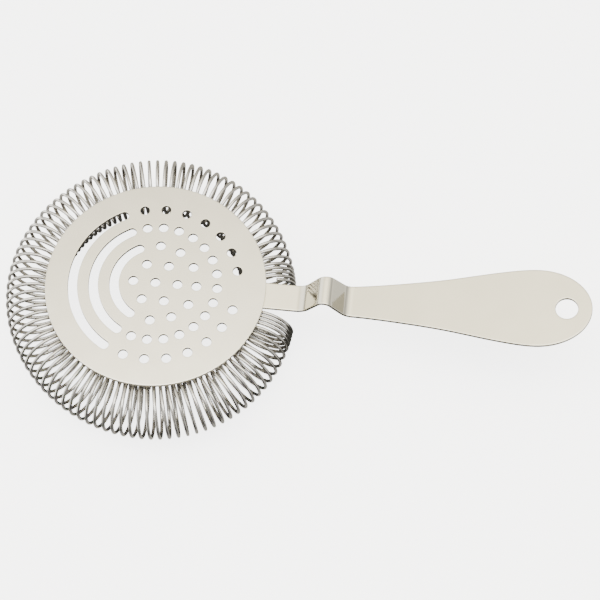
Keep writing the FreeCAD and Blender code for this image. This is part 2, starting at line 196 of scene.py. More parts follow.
def on_material(loops, spots):
    """True for each spot that lies within the outline and outside every hole."""
    odd = np.zeros(len(spots), bool)
    for loop in loops:
        ahead = np.roll(loop, -1, 0)
        rise = ahead[:, 1] - loop[:, 1]
        slope = (ahead[:, 0] - loop[:, 0]) / np.where(rise == 0, 1.0, rise)
        near = np.flatnonzero((spots[:, 0] <= loop[:, 0].max()) & (spots[:, 1] >= loop[:, 1].min())
                              & (spots[:, 1] <= loop[:, 1].max()))
        for block in np.array_split(near, len(near) // 2000 + 1):
            u, v = spots[block, :1], spots[block, 1:]
            passed = (loop[:, 1] > v) != (ahead[:, 1] > v)
            passed &= u < loop[:, 0] + (v - loop[:, 1]) * slope
            odd[block] ^= passed.sum(1) % 2 == 1
    return odd


# each quarter of a rounded edge has this many faces
EDGE_STEPS = 4
# a second row of points this far inside each edge keeps the rounding crisp
SUPPORT = 0.35 * MM
# in steps of the grid: how far apart its rows are, and how near to an edge its points come
ROW_SPACING, KEEP_OFF = 0.866, 0.45
# the grid is compared with the edges in blocks of this many points, to save memory
BLOCK = 500
SAME_SPOT, NO_AREA = 1e-9, 1e-14


def grid_spots(low, high, step):
    """Points of an even triangular grid over a box."""
    spots = []
    across = np.arange(low[0], high[0], step)
    for row, v in enumerate(np.arange(low[1], high[1], step * ROW_SPACING)):
        spots.extend((u, v) for u in across + (step / 2 if row % 2 else 0))
    return spots


def nearest_gap(spots, others):
    """How far each spot is from the nearest of the others."""
    apart = np.full(len(spots), np.inf)
    for start in range(0, len(others), BLOCK):
        block = others[start:start + BLOCK]
        gaps = np.linalg.norm(spots[:, None, :] - block[None, :, :], axis=2).min(1)
        apart = np.minimum(apart, gaps)
    return apart


def triangulated(given, edges, bounds):
    """Spots, anticlockwise triangles on the material, and where each given spot now is."""
    made = delaunay_2d_cdt([Vector(p) for p in given], edges, [], 0, SAME_SPOT)
    spots = np.array([(p.x, p.y) for p in made[0]])
    found = np.array(made[2])
    triangles = []
    for face in found[on_material(bounds, spots[found].mean(1))].tolist():
        a, b, c = spots[face]
        turn = (b[0] - a[0]) * (c[1] - a[1]) - (b[1] - a[1]) * (c[0] - a[0])
        if abs(turn) > NO_AREA:
            triangles.append(tuple(face) if turn > 0 else tuple(reversed(face)))
    place = {}
    for new, olds in enumerate(made[3]):
        for old in olds:
            place[old] = new
    return spots, triangles, place


def pressed_blank(loops, rounds, half, step, extra=()):
    """Points (u, v, t) and faces of a flat blank with rounded edges.

    loops[0] is the outline and the rest are holes; extra points join the flat faces.
    """
    flat, edges, rings, bounds = [], [], [], []
    for number, (loop, radius) in enumerate(zip(loops, rounds)):
        away = outward(loop, number > 0)
        inner = loop - away * radius
        start, count = len(flat), len(inner)
        flat.extend(inner)
        bounds.append(inner)
        edges.extend((start + i, start + (i + 1) % count) for i in range(count))
        rings.append((start, count, loop, away, radius))
        flat.extend(loop - away * (radius + min(SUPPORT, step / 3)))
    flat = np.array(flat)
    grid = np.array(grid_spots(flat.min(0), flat.max(0), step) + list(extra))
    grid = grid[on_material(bounds, grid) & (nearest_gap(grid, flat) > KEEP_OFF * step)]
    spots, triangles, place = triangulated(np.vstack([flat, grid]), edges, bounds)
    count = len(spots)
    points = [(u, v, half) for u, v in spots] + [(u, v, -half) for u, v in spots]
    faces = list(triangles)
    faces += [tuple(count + i for i in reversed(t)) for t in triangles]
    for start, size, loop, away, radius in rings:
        top = [place[start + i] for i in range(size)]
        columns = [top]
        for sign in (1, -1):
            order = range(1, EDGE_STEPS + 1) if sign > 0 else range(EDGE_STEPS, 0, -1)
            for k in order:
                lean = math.pi / 2 * k / EDGE_STEPS
                shift = radius * (math.sin(lean) - 1)
                level = sign * (half - radius + radius * math.cos(lean))
                first = len(points)
                points.extend((p[0], p[1], level) for p in loop + away * shift)
                columns.append(list(range(first, first + size)))
        columns.append([count + i for i in top])
        backwards = anticlockwise(loop) == (start > 0)
        for upper, lower in zip(columns[:-1], columns[1:]):
            for i in range(size):
                j = (i + 1) % size
                quad = (upper[i], lower[i], lower[j], upper[j])
                faces.append(tuple(reversed(quad)) if backwards else quad)
    used = np.zeros(len(points), bool)
    for face in faces:
        used[list(face)] = True
    renumber = np.cumsum(used) - 1
    faces = [tuple(int(renumber[i]) for i in face) for face in faces]
    return np.array(points)[used], faces


def soften(piece):
    """Lets the broad faces set the shading, so rounded edges don't smear into them."""
    weighted = piece.modifiers.new("broad_faces_lead", "WEIGHTED_NORMAL")
    weighted.mode = "FACE_AREA"
    weighted.weight = 80
    weighted.keep_sharp = False


# ---------------------------------------------------------------------------
# materials
# ---------------------------------------------------------------------------

class Nodes:
    """Short names for adding and joining shader nodes."""

    def __init__(self, name):
        self.material = bpy.data.materials.new(name)
        self.material.use_nodes = True
        self.tree = self.material.node_tree
        self.tree.nodes.clear()
        self.out = self.tree.nodes.new("ShaderNodeOutputMaterial")
        self.where = self.tree.nodes.new("ShaderNodeTexCoord").outputs["Object"]

    def join(self, source, target):
        self.tree.links.new(source, target)

    def metal(self, colour, rough):
        shader = self.tree.nodes.new("ShaderNodeBsdfPrincipled")
        shader.inputs["Metallic"].default_value = 1.0
        shader.inputs["Base Color"].default_value = colour
        shader.inputs["Roughness"].default_value = rough
        self.join(shader.outputs["BSDF"], self.out.inputs["Surface"])
        return shader

    def stretched(self, scale, turn=(0, 0, 0)):
        node = self.tree.nodes.new("ShaderNodeMapping")
        node.inputs["Scale"].default_value = scale
        node.inputs["Rotation"].default_value = turn
        self.join(self.where, node.inputs["Vector"])
        return node.outputs["Vector"]

    def noise(self, vector, scale, detail=4.0, rough=0.6):
        node = self.tree.nodes.new("ShaderNodeTexNoise")
        node.inputs["Scale"].default_value = scale
        node.inputs["Detail"].default_value = detail
        node.inputs["Roughness"].default_value = rough
        self.join(vector, node.inputs["Vector"])
        return node.outputs["Fac"]

    def spread(self, value, low, high, out_low, out_high):
        node = self.tree.nodes.new("ShaderNodeMapRange")
        for label, number in (("From Min", low), ("From Max", high),
                              ("To Min", out_low), ("To Max", out_high)):
            node.inputs[label].default_value = number
        self.join(value, node.inputs["Value"])
        return node.outputs["Result"]

    def sum(self, a, b, how="ADD"):
        node = self.tree.nodes.new("ShaderNodeMath")
        node.operation = how
        for socket, value in zip(node.inputs, (a, b)):
            if isinstance(value, (int, float)):
                socket.default_value = value
            else:
                self.join(value, socket)
        return node.outputs["Value"]

    def tint(self, factor, low, high):
        node = self.tree.nodes.new("ShaderNodeMix")
        node.data_type = "RGBA"
        self.join(factor, node.inputs["Factor"])
        node.inputs["A"].default_value = low
        node.inputs["B"].default_value = high
        return node.outputs["Result"]

    def bump(self, height, strength, distance, normal=None):
        node = self.tree.nodes.new("ShaderNodeBump")
        node.inputs["Strength"].default_value = strength
        node.inputs["Distance"].default_value = distance
        self.join(height, node.inputs["Height"])
        if normal is not None:
            self.join(normal, node.inputs["Normal"])
        return node.outputs["Normal"]


def darker(colour, amount):
    return tuple(c * amount for c in colour[:3]) + (1.0,)


def satin_steel(name, colour, rough, grain_turn, shiny=None):
    """Tumbled sheet steel: soft clouding, fine grain one way and a few stray scratches."""
    n = Nodes(name)
    shader = n.metal(colour, rough)
    clouds = n.noise(n.where, 90.0, 3.0, 0.5)
    grain = n.noise(n.stretched((1.0, 14.0, 1.0), (0, 0, grain_turn)), 900.0, 5.0, 0.65)
    speckle = n.noise(n.where, 3800.0, 2.0, 0.5)
    scratches = n.noise(n.stretched((1.0, 55.0, 1.0), (0, 0, grain_turn + 0.5)), 160.0, 2.0, 0.4)
    scratch = n.spread(scratches, 0.66, 0.74, 0.0, 1.0)
    n.join(n.tint(n.spread(clouds, 0.35, 0.65, 0.0, 1.0), darker(colour, 0.955), colour),
           shader.inputs["Base Color"])
    uneven = n.spread(n.sum(clouds, grain), 0.6, 1.4, rough - 0.05, rough + 0.06)
    rough_all = n.sum(uneven, n.sum(scratch, 0.08, "MULTIPLY"))
    if shiny:
        # forming the bridge has burnished the strip there
        middle, reach, keep = shiny
        apart = n.tree.nodes.new("ShaderNodeSeparateXYZ")
        n.join(n.where, apart.inputs["Vector"])
        away = n.sum(apart.outputs["X"], -middle)
        far = n.sum(away, away, "MULTIPLY")
        rough_all = n.sum(rough_all, n.spread(far, (0.85 * reach) ** 2, reach ** 2, keep, 1.0),
                          "MULTIPLY")
    n.join(rough_all, shader.inputs["Roughness"])
    fine = n.bump(n.sum(grain, speckle), 0.25, 0.00002)
    n.join(n.bump(scratch, 0.12, 0.00002, fine), shader.inputs["Normal"])
    return n.material


def drawn_wire(name, colour, rough):
    """Bright drawn wire: faint die lines and small uneven patches."""
    n = Nodes(name)
    shader = n.metal(colour, rough)
    patches = n.noise(n.where, 420.0, 3.0, 0.6)
    lines = n.noise(n.where, 5200.0, 3.0, 0.6)
    n.join(n.tint(n.spread(patches, 0.3, 0.7, 0.0, 1.0), darker(colour, 0.86), colour),
           shader.inputs["Base Color"])
    n.join(n.spread(n.sum(patches, lines), 0.6, 1.4, rough - 0.04, rough + 0.08),
           shader.inputs["Roughness"])
    n.join(n.bump(lines, 0.2, 0.00001), shader.inputs["Normal"])
    return n.material


FLOOR_GLOW = 3.8


def studio_floor(name, colour):
    """Pale card lit mostly by its own glow, so it stays even under the strainer."""
    n = Nodes(name)
    shader = n.tree.nodes.new("ShaderNodeBsdfPrincipled")
    shader.inputs["Roughness"].default_value = 0.9
    shader.inputs["Specular IOR Level"].default_value = 0.1
    fibre = n.noise(n.where, 60.0, 4.0, 0.5)
    n.join(n.tint(fibre, darker(colour, 0.99), colour), shader.inputs["Base Color"])
    shader.inputs["Emission Color"].default_value = (1, 1, 1, 1)
    shader.inputs["Emission Strength"].default_value = FLOOR_GLOW
    n.join(shader.outputs["BSDF"], n.out.inputs["Surface"])
    return n.material


def shaded_floor(name, colour):
    """A dull card that stands in for the shade under the strainer."""
    n = Nodes(name)
    shader = n.tree.nodes.new("ShaderNodeEmission")
    n.join(n.tint(n.noise(n.where, 40.0, 4.0, 0.5), darker(colour, 0.8), colour),
           shader.inputs["Color"])
    n.join(shader.outputs["Emission"], n.out.inputs["Surface"])
    return n.material


# ---------------------------------------------------------------------------
# plate
# ---------------------------------------------------------------------------

RINGS = [
    # radius in mm, first angle, holes, angle covered
    (7.6, 0.0, 6, 300.0),
    (14.1, -90.0, 7, 180.0),
    (21.2, -105.0, 15, 210.0),
    (28.3, 15.0, 7, 90.0),
    (28.3, -105.0, 7, 90.0),
]
SLOT_RINGS = (14.1, 21.2, 28.3)


def hole_places():
    places = [(0.0, 0.0)]
    for radius, first, count, covered in RINGS:
        for k in range(count):
            turn = math.radians(first + covered * k / (count - 1))
            places.append((radius * MM * math.cos(turn), radius * MM * math.sin(turn)))
    return places


RIM_POINTS, HOLE_POINTS, SLOT_STEP, SLOT_END_POINTS = 264, 36, 0.7 * MM, 14


def slot_loop(middle, half, reach, step):
    """A curved slot with round ends, centred on the side away from the handle."""
    low, high = math.pi - reach, math.pi + reach
    along = max(8, int(middle * 2 * reach / step))
    ends = SLOT_END_POINTS
    points = []
    for i in range(along + 1):
        t = low + (high - low) * i / along
        points.append(((middle + half) * math.cos(t), (middle + half) * math.sin(t)))
    for i in range(1, ends):
        t = high + math.pi * i / ends
        points.append((middle * math.cos(high) + half * math.cos(t),
                       middle * math.sin(high) + half * math.sin(t)))
    for i in range(along + 1):
        t = high + (low - high) * i / along
        points.append(((middle - half) * math.cos(t), (middle - half) * math.sin(t)))
    for i in range(1, ends):
        t = low + math.pi + math.pi * i / ends
        points.append((middle * math.cos(low) + half * math.cos(t),
                       middle * math.sin(low) + half * math.sin(t)))
    return np.array(points)


class STRAINER_OT_plate(bpy.types.Operator):
    """Build the dished plate with its drain holes and slots"""
    bl_idname = "strainer.plate"
    bl_label = "Plate"

    def execute(self, context):
        s = context.scene.strainer_plate
        looks = context.scene.strainer_finishes
        loops = [circle_loop(0, 0, s.radius, RIM_POINTS)]
        rounds = [s.edge]
        for x, y in hole_places():
            loops.append(circle_loop(x, y, s.hole, HOLE_POINTS))
            rounds.append(s.hole_edge)
        for middle in SLOT_RINGS:
            loops.append(slot_loop(middle * MM, s.slot, s.slot_reach, SLOT_STEP))
            rounds.append(s.hole_edge)
        points, faces = pressed_blank(loops, rounds, s.gauge / 2, s.mesh_step)
        far = np.hypot(points[:, 0], points[:, 1])
        points[:, 2] += -s.gauge / 2 - s.rise * (far / s.radius) ** 2
        steel = satin_steel("plate_satin", tuple(looks.plate), looks.plate_rough, 0.0)
        piece = add_piece("strainer_plate_pressed", points, faces, STRAINER,
                          ["strainer_plate"], steel)
        soften(piece)
        return {"FINISHED"}


# ---------------------------------------------------------------------------
# handle
# ---------------------------------------------------------------------------

TANG_START, RIM = 24.5 * MM, 37.75 * MM
ARM_LEVEL, FOOT_LEVEL, CREST, TIP_LEVEL = -2.25 * MM, -1.0 * MM, 6.15 * MM, 10.35 * MM
CREST_MIDDLE, CREST_FLAT = 58.15 * MM, 0.2 * MM
CLIMB, FALL = math.radians(55.4), math.radians(50.0)
# the tang's end stands this much higher than its place at the rim, as the dish does
TANG_LIFT, TANG_CORNER = 0.561 * MM, 1.2 * MM
# radii of the strip's middle line where it leaves the rim, starts up and ends its fall
RIM_BEND, CLIMB_BEND, FOOT_BEND = 8.0 * MM, 5.0 * MM, 4.0 * MM
# forming polishes the bridge this far either side of its crest, to this share of roughness
BRIDGE_REACH, BRIDGE_SHARE = 11.0 * MM, 0.3
WELDS = (28.6 * MM, 34.0 * MM)
WELD_REACH, WELD_DEEP, LIP_AT, LIP_WIDE, LIP_TALL = (
    1.75 * MM, 0.16 * MM, 1.95 * MM, 0.25 * MM, 0.03 * MM)
FLANK_START = 50.0 * MM
# share of the way along the flank, share of the way from arm to grip
FLANK = [(0.0, 0.0), (0.089, 0.035), (0.228, 0.095), (0.43, 0.268), (0.633, 0.515),
         (0.734, 0.68), (0.886, 0.912), (1.0, 1.0)]


def level_spline(xs, ys):
    """Cubic through points, level at both ends; returns a function."""
    count = len(xs)
    rows = np.zeros((count, count))
    right = np.zeros(count)
    rows[0, 0] = rows[-1, -1] = 1.0
    for i in range(1, count - 1):
        before, after = xs[i] - xs[i - 1], xs[i + 1] - xs[i]
        rows[i, i - 1] = 1 / before
        rows[i, i] = 2 * (1 / before + 1 / after)
        rows[i, i + 1] = 1 / after
        right[i] = 3 * ((ys[i] - ys[i - 1]) / before ** 2 + (ys[i + 1] - ys[i]) / after ** 2)
    slopes = np.linalg.solve(rows, right)

    def at(x):
        i = int(np.clip(np.searchsorted(xs, x) - 1, 0, count - 2))
        step = xs[i + 1] - xs[i]
        t = (x - xs[i]) / step
        return ((2 * t ** 3 - 3 * t ** 2 + 1) * ys[i] + (t ** 3 - 2 * t ** 2 + t) * step * slopes[i]
                + (3 * t ** 2 - 2 * t ** 3) * ys[i + 1] + (t ** 3 - t ** 2) * step * slopes[i + 1])
    return at


def bent_line(corners, radii):
    """A line with rounded corners: a list of points, their directions and the length run."""
    points, headings = [], []
    count = len(corners)

    def add(p, heading):
        points.append(np.array(p))
        headings.append(heading)

    def heading_of(i):
        d = corners[i + 1] - corners[i]
        return math.atan2(d[1], d[0])

    add(corners[0], heading_of(0))
    for i in range(1, count - 1):
        before, after = heading_of(i - 1), heading_of(i)
        turn = after - before
        radius = radii[i - 1]
        cut = abs(radius * math.tan(turn / 2))
        start = corners[i] - cut * np.array([math.cos(before), math.sin(before)])
        side = math.copysign(1.0, turn)
        centre = start + side * radius * np.array([-math.sin(before), math.cos(before)])
        pieces = max(4, int(abs(turn) / math.radians(4)))
        for k in range(pieces + 1):
            heading = before + turn * k / pieces
            p = centre - side * radius * np.array([-math.sin(heading), math.cos(heading)])
            add(p, heading)
    add(corners[-1], heading_of(count - 2))
    points = np.array(points)
    run = np.concatenate([[0], np.cumsum(np.linalg.norm(np.diff(points, axis=0), axis=1))])
    return points, np.array(headings), run


def middle_line(top, half):
    """The line half a gauge under the corners of the strip's top face."""
    middle = []
    for i in range(len(top)):
        square = []
        for a, b in ((i - 1, i), (i, i + 1)):
            if a >= 0 and b < len(top):
                d = (top[b] - top[a]) / np.linalg.norm(top[b] - top[a])
                square.append(np.array([d[1], -d[0]]))
        lean = sum(square)
        lean = lean / np.linalg.norm(lean)
        middle.append(top[i] + lean * half / np.dot(lean, square[0]))
    return np.array(middle)


def press_welds(points, half, spots):
    """Spot welds press shallow dimples into the tang's underside."""
    for spot in spots:
        far = np.hypot(points[:, 0] - spot, points[:, 1])
        dent = np.clip(1 - (far / WELD_REACH) ** 2, 0, 1) ** 0.7
        lip = np.exp(-((far - LIP_AT) / LIP_WIDE) ** 2)
        under = points[:, 2] < -half + 0.01 * MM
        points[:, 2] += np.where(under, WELD_DEEP * dent - LIP_TALL * lip, 0.0)


class STRAINER_OT_handle(bpy.types.Operator):
    """Build the handle from a flat blank bent over the bridge"""
    bl_idname = "strainer.handle"
    bl_label = "Handle"

    def execute(self, context):
        s = context.scene.strainer_handle
        looks = context.scene.strainer_finishes
        half = s.gauge / 2
        outer = s.bend + s.gauge
        crest_start = CREST_MIDDLE - CREST_FLAT / 2 - outer * math.tan(CLIMB / 2)
        crest_end = CREST_MIDDLE + CREST_FLAT / 2 + outer * math.tan(FALL / 2)
        bridge = crest_start - (CREST - ARM_LEVEL) / math.tan(CLIMB)
        foot = crest_end + (CREST - FOOT_LEVEL) / math.tan(FALL)
        top = np.array([(TANG_START, ARM_LEVEL + TANG_LIFT), (RIM, ARM_LEVEL),
                        (bridge, ARM_LEVEL), (crest_start, CREST), (crest_end, CREST),
                        (foot, FOOT_LEVEL), (s.tip, TIP_LEVEL)])
        bend = s.bend + half
        line, headings, run = bent_line(middle_line(top, half),
                                        [RIM_BEND, CLIMB_BEND, bend, bend, FOOT_BEND])
        headings = np.unwrap(headings)

        def run_at(x):
            return float(np.interp(x, line[:, 0], run))

        start, tip = run_at(TANG_START), run_at(s.tip)
        shares = np.array(FLANK)
        flank = level_spline(FLANK_START + shares[:, 0] * (s.widest - FLANK_START),
                             s.arm + shares[:, 1] * (s.grip - s.arm))
        nose_from = run_at(s.widest)
        nose = tip - nose_from
        corner = TANG_CORNER

        def half_width(u):
            if u > nose_from:
                return s.grip * math.sqrt(max(0.0, 1 - ((u - nose_from) / nose) ** 2))
            x = float(np.interp(u, run, line[:, 0]))
            if x <= FLANK_START:
                if u < start + corner:
                    return s.arm - corner + math.sqrt(
                        max(0.0, corner ** 2 - (start + corner - u) ** 2))
                return s.arm
            return flank(x)

        side = []
        for k in range(7):
            t = math.pi / 2 * (1 - k / 6)
            side.append((start + corner - corner * math.sin(t), s.arm - corner
                         + corner * math.cos(t)))
        u = start + corner
        while u < nose_from - 0.4 * MM:
            u += 0.7 * MM
            side.append((min(u, nose_from), half_width(min(u, nose_from))))
        for k in range(1, 46):
            t = math.pi / 2 * k / 46
            side.append((nose_from + nose * math.sin(t), s.grip * math.cos(t)))
        low_side = [(a, -b) for a, b in side]
        outline = np.array(low_side + [(tip, 0.0)] + list(reversed(side))
                           + [(start, k * MM) for k in (3.0, 2.0, 1.0, 0.0, -1.0, -2.0, -3.0)])
        hang_run = run_at(s.hang_at)
        loops = [outline, circle_loop(hang_run, 0.0, s.hang, 72)]

        bends = []
        for i in range(1, len(run) - 1):
            if run[i + 1] - run[i] < 0.5 * MM or run[i] - run[i - 1] < 0.5 * MM:
                for v in np.arange(-5.5, 5.6, 0.5):
                    bends.append((run[i], v * MM))
        for x in np.arange(run_at(25.2 * MM), run_at(37.0 * MM), 0.35 * MM):
            for v in np.arange(-4.4, 4.5, 0.35):
                bends.append((x, v * MM))
        points, faces = pressed_blank(loops, [s.edge, s.edge * 0.8], half, 1.3 * MM, bends)
        press_welds(points, half, [run_at(x) for x in WELDS])
        u, v, t = points[:, 0], points[:, 1], points[:, 2]
        x = np.interp(u, run, line[:, 0])
        z = np.interp(u, run, line[:, 1])
        heading = np.interp(u, run, headings)
        placed = np.stack([x - np.sin(heading) * t, v, z + np.cos(heading) * t], 1)
        steel = satin_steel("handle_satin", tuple(looks.handle), looks.handle_rough, 0.0,
                            (CREST_MIDDLE, BRIDGE_REACH, BRIDGE_SHARE))
        piece = add_piece("handle_strip", placed, faces, STRAINER, ["handle"],
                          steel)
        soften(piece)
        return {"FINISHED"}


# ---------------------------------------------------------------------------
# spring
# ---------------------------------------------------------------------------

LEAD_TURNS, LEAD_GAP, LEAD_ARM_GAP = 4, 0.27 * MM, 2.1 * MM
CLOSE_TURNS, CLOSE_GAP, CLOSE_ARM_GAP = 4, 0.16 * MM, 1.3 * MM
END_FAN = 0.35
# how far the joint presses the spring, and the turn's share at which each wire end stands
TRAVEL, FIRST_CUT, LAST_CUT = 4.0 * MM, -0.2, 0.5


def tip_headings(s, arm):
    """Where each turn's outermost point stands, in degrees round the ring."""
    crowded = s.ring - END_FAN * s.coil
    lead = math.degrees((2 * s.wire + LEAD_GAP) / crowded)
    close = math.degrees((2 * s.wire + CLOSE_GAP) / crowded)
    first = math.degrees(math.asin((arm + LEAD_ARM_GAP) / s.ring)) + LEAD_TURNS * lead
    last = 360.0 - math.degrees(math.asin((arm + CLOSE_ARM_GAP) / s.ring))
    span = last - first - CLOSE_TURNS * close
    total = int(round(math.radians(span) * s.ring / (2 * s.wire + s.space)))
    spaces = []
    heading = first
    for k in range(total):
        spaces.append(1.0 + 0.065 * math.cos(2 * math.radians(heading - 15.0)))
        heading += spaces[-1] * span / total
    scale = span / sum(spaces)
    tips = [first - lead * (LEAD_TURNS - k) for k in range(LEAD_TURNS + 1)]
    for space in spaces:
        tips.append(tips[-1] + space * scale)
    for k in range(CLOSE_TURNS):
        tips.append(tips[-1] + close)
    return np.array(tips)


class STRAINER_OT_spring(bpy.types.Operator):
    """Wind the wire spring round its ring under the rim"""
    bl_idname = "strainer.spring"
    bl_label = "Wire spring"

    def execute(self, context):
        s = context.scene.strainer_spring
        plate = context.scene.strainer_plate
        looks = context.scene.strainer_finishes
        tips = tip_headings(s, context.scene.strainer_handle.arm)
        last = len(tips) - 1
        first_open, last_open = tips[LEAD_TURNS], tips[last - CLOSE_TURNS]

        def heading_at(turn):
            total = 0.0
            for shift in (-0.5, -0.25, 0.0, 0.25, 0.5):
                t = turn + shift
                k = np.clip(np.floor(t), 0, last - 1).astype(int)
                total = total + tips[k] + (tips[k + 1] - tips[k]) * (t - k)
            return total / 5.0

        def ring_at(heading):
            oval = s.oval * np.cos(2 * np.radians(heading - 106.0))
            skew = s.skew * np.cos(3 * np.radians(heading - 63.4))
            ring = s.ring + oval + skew
            x = ring * np.cos(np.radians(heading)) - s.offset
            y = ring * np.sin(np.radians(heading)) - s.across
            reach = np.hypot(x, y) - plate.radius
            clear = s.coil + s.wire + s.gap
            z = -plate.rise - plate.gauge - np.sqrt(clear ** 2 - reach ** 2)
            return np.stack([x, y, z], -1)

        def wire_at(turn):
            heading = heading_at(turn)
            facing = np.where(heading > last_open,
                              last_open + END_FAN * (heading - last_open), heading)
            facing = np.where(heading < first_open,
                              first_open + END_FAN * (heading - first_open), facing)
            swing = -2 * math.pi * turn
            middle = ring_at(heading)
            along = s.coil * np.cos(swing)
            offset = np.stack([along * np.cos(np.radians(facing)),
                               along * np.sin(np.radians(facing)), s.coil * np.sin(swing)], -1)
            return middle + offset, offset

        begin, end = FIRST_CUT, last + LAST_CUT
        count = int(round((end - begin) * s.steps))
        turns = np.linspace(begin, end, count + 1)
        here, out = wire_at(turns)
        along = wire_at(turns + 0.001)[0] - wire_at(turns - 0.001)[0]
        along /= np.linalg.norm(along, axis=1)[:, None]
        out = out - along * np.sum(out * along, 1)[:, None]
        out /= np.linalg.norm(out, axis=1)[:, None]
        across = np.cross(along, out)
        around = np.arange(s.sides) * 2 * math.pi / s.sides
        spread = (np.cos(around)[None, :, None] * out[:, None, :]
                  + np.sin(around)[None, :, None] * across[:, None, :])
        rings = [here[:, None, :] + s.wire * spread]
        # square-cut ends with the sharpness just taken off
        start_cap = here[0] - along[0] * 0.1 * s.wire + 0.88 * s.wire * spread[0]
        end_cap = here[-1] + along[-1] * 0.1 * s.wire + 0.88 * s.wire * spread[-1]
        points = np.vstack([start_cap, rings[0].reshape(-1, 3), end_cap])
        total = count + 3
        faces = []
        sides = s.sides
        for i in range(total - 1):
            for j in range(sides):
                k = (j + 1) % sides
                faces.append((i * sides + j, i * sides + k, (i + 1) * sides + k,
                              (i + 1) * sides + j))
        faces.append(tuple(reversed(range(sides))))
        faces.append(tuple((total - 1) * sides + j for j in range(sides)))
        wire = drawn_wire("wire_bright", tuple(looks.wire), looks.wire_rough)
        piece = add_piece("coil_spring_wire", points, faces, COIL,
                          ["coil_spring"], wire)
        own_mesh(piece)
        return {"FINISHED"}


# ---------------------------------------------------------------------------
# lugs
# ---------------------------------------------------------------------------

LUG_INSIDE, LUG_GAUGE, LUG_WIDTH, LUG_CORNER = 0.86 * MM, 0.45 * MM, 1.2 * MM, 0.12 * MM
# the weld swells this much, over the leg's last stretch from this share of it on
WELD_SWELL, SWELL_FROM = 0.14 * MM, 0.84


class STRAINER_OT_lugs(bpy.types.Operator):
    """Bend the small hoops that hold the spring under the rim"""
    bl_idname = "strainer.lugs"
    bl_label = "Spring lugs"

    def execute(self, context):
        looks = context.scene.strainer_finishes
        steel = satin_steel("lug_satin", tuple(looks.lug), 0.38, 0.6)
        inner, gauge, width = LUG_INSIDE, LUG_GAUGE, LUG_WIDTH
        middle = inner + gauge / 2
        for name in LUGS:
            low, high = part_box(name)
            x, y = (low.x + high.x) / 2, (low.y + high.y) / 2
            turned = math.atan2(y, x)
            leg = (high.z - low.z) - (inner + gauge)
            bottom = high.z - leg
            path = [(-middle, leg - k * leg / 8) for k in range(8)]
            path += [(-middle * math.cos(math.pi * k / 20), -middle * math.sin(math.pi * k / 20))
                     for k in range(21)]
            path += [(middle, k * leg / 8) for k in range(1, 9)]
            path = np.array(path)
            along = np.gradient(path, axis=0)
            along /= np.linalg.norm(along, axis=1)[:, None]
            square = np.stack([-along[:, 1], along[:, 0]], 1)
            corner = LUG_CORNER
            section = []
            for cx, cy, a0 in ((1, 1, 0), (-1, 1, 90), (-1, -1, 180), (1, -1, 270)):
                for a in (0, 30, 60, 90):
                    turn = math.radians(a0 + a)
                    section.append((cx * (gauge / 2 - corner) + corner * math.cos(turn),
                                    cy * (width / 2 - corner) + corner * math.sin(turn)))
            section = np.array(section)
            points, faces = [], []
            for i, p in enumerate(path):
                # the weld swells the last of each leg where it meets the plate
                swell = WELD_SWELL * max(0.0, (p[1] / leg - SWELL_FROM) / (1 - SWELL_FROM)) ** 2
                for a, b in section:
                    a = a + math.copysign(swell, a)
                    b = b + math.copysign(swell * 0.8, b)
                    q = p + square[i] * a
                    points.append((b, q[0], q[1]))
            size, count = len(section), len(path)
            for i in range(count - 1):
                for j in range(size):
                    k = (j + 1) % size
                    faces.append((i * size + j, (i + 1) * size + j, (i + 1) * size + k,
                                  i * size + k))
            faces.append(tuple(range(size)))
            faces.append(tuple(reversed([(count - 1) * size + j for j in range(size)])))
            move = Matrix.Translation((x, y, bottom)) @ Matrix.Rotation(turned, 4, "Z")
            placed = [move @ Vector(p) for p in points]
            piece = add_piece(name + "_hoop", placed, faces, STRAINER, [name],
                              steel)
            soften(piece)
        return {"FINISHED"}


# ---------------------------------------------------------------------------
# stage
# ---------------------------------------------------------------------------

def area_light(name, place, target, size, power):
    data = bpy.data.lights.new(name, "AREA")
    data.shape = "RECTANGLE"
    data.size, data.size_y = size
    data.energy = power
    light = bpy.data.objects.new(name, data)
    bpy.context.scene.collection.objects.link(light)
    light.location = place
    light.rotation_euler = (Vector(target) - Vector(place)).to_track_quat("-Z", "Y").to_euler()


FLOOR_REACH, FLOOR_SIDES, FLOOR_GAP = 3.0, 64, 0.2 * MM
# the hidden cards lie this far under the floor's face: a disc under the spring, an oval
# under the grip
UNDER_DEEP, UNDER_REACH = 0.1 * MM, 48.0 * MM
UNDER_GRIP_AT, UNDER_GRIP_LONG, UNDER_GRIP_WIDE = (98.0 * MM, -8.0 * MM), 56.0 * MM, 24.0 * MM
# height in the sky from straight down (-1) to straight up (1), and how bright it is there:
# beyond the object, on the viewer's side of it, off the plate's end and off the grip's end
SKY_FAR = [(-1.0, 0.26), (-0.1, 0.3), (0.05, 0.2), (0.4, 0.34), (0.8, 0.8), (0.93, 1.25),
           (1.0, 1.5)]
SKY_NEAR = [(-1.0, 0.24), (-0.86, 0.22), (-0.6, 0.03), (0.0, 0.05), (0.35, 0.11), (0.7, 0.24),
            (0.92, 0.34), (1.0, 1.1)]
SKY_LEFT = [(-1.0, 0.24), (-0.6, 0.3), (-0.42, 1.3), (-0.2, 1.5), (0.0, 0.2), (0.3, 0.9),
            (0.85, 1.1), (1.0, 1.2)]
SKY_RIGHT = [(-1.0, 0.24), (-0.3, 0.3), (0.0, 0.45), (0.35, 0.25), (0.6, 0.4), (0.85, 1.0),
             (1.0, 1.2)]
FAR_TONE = (1.0, 0.945, 0.8)
SIDE_TONE = (1.0, 0.985, 0.95)
SKY_STRENGTH = 2.6


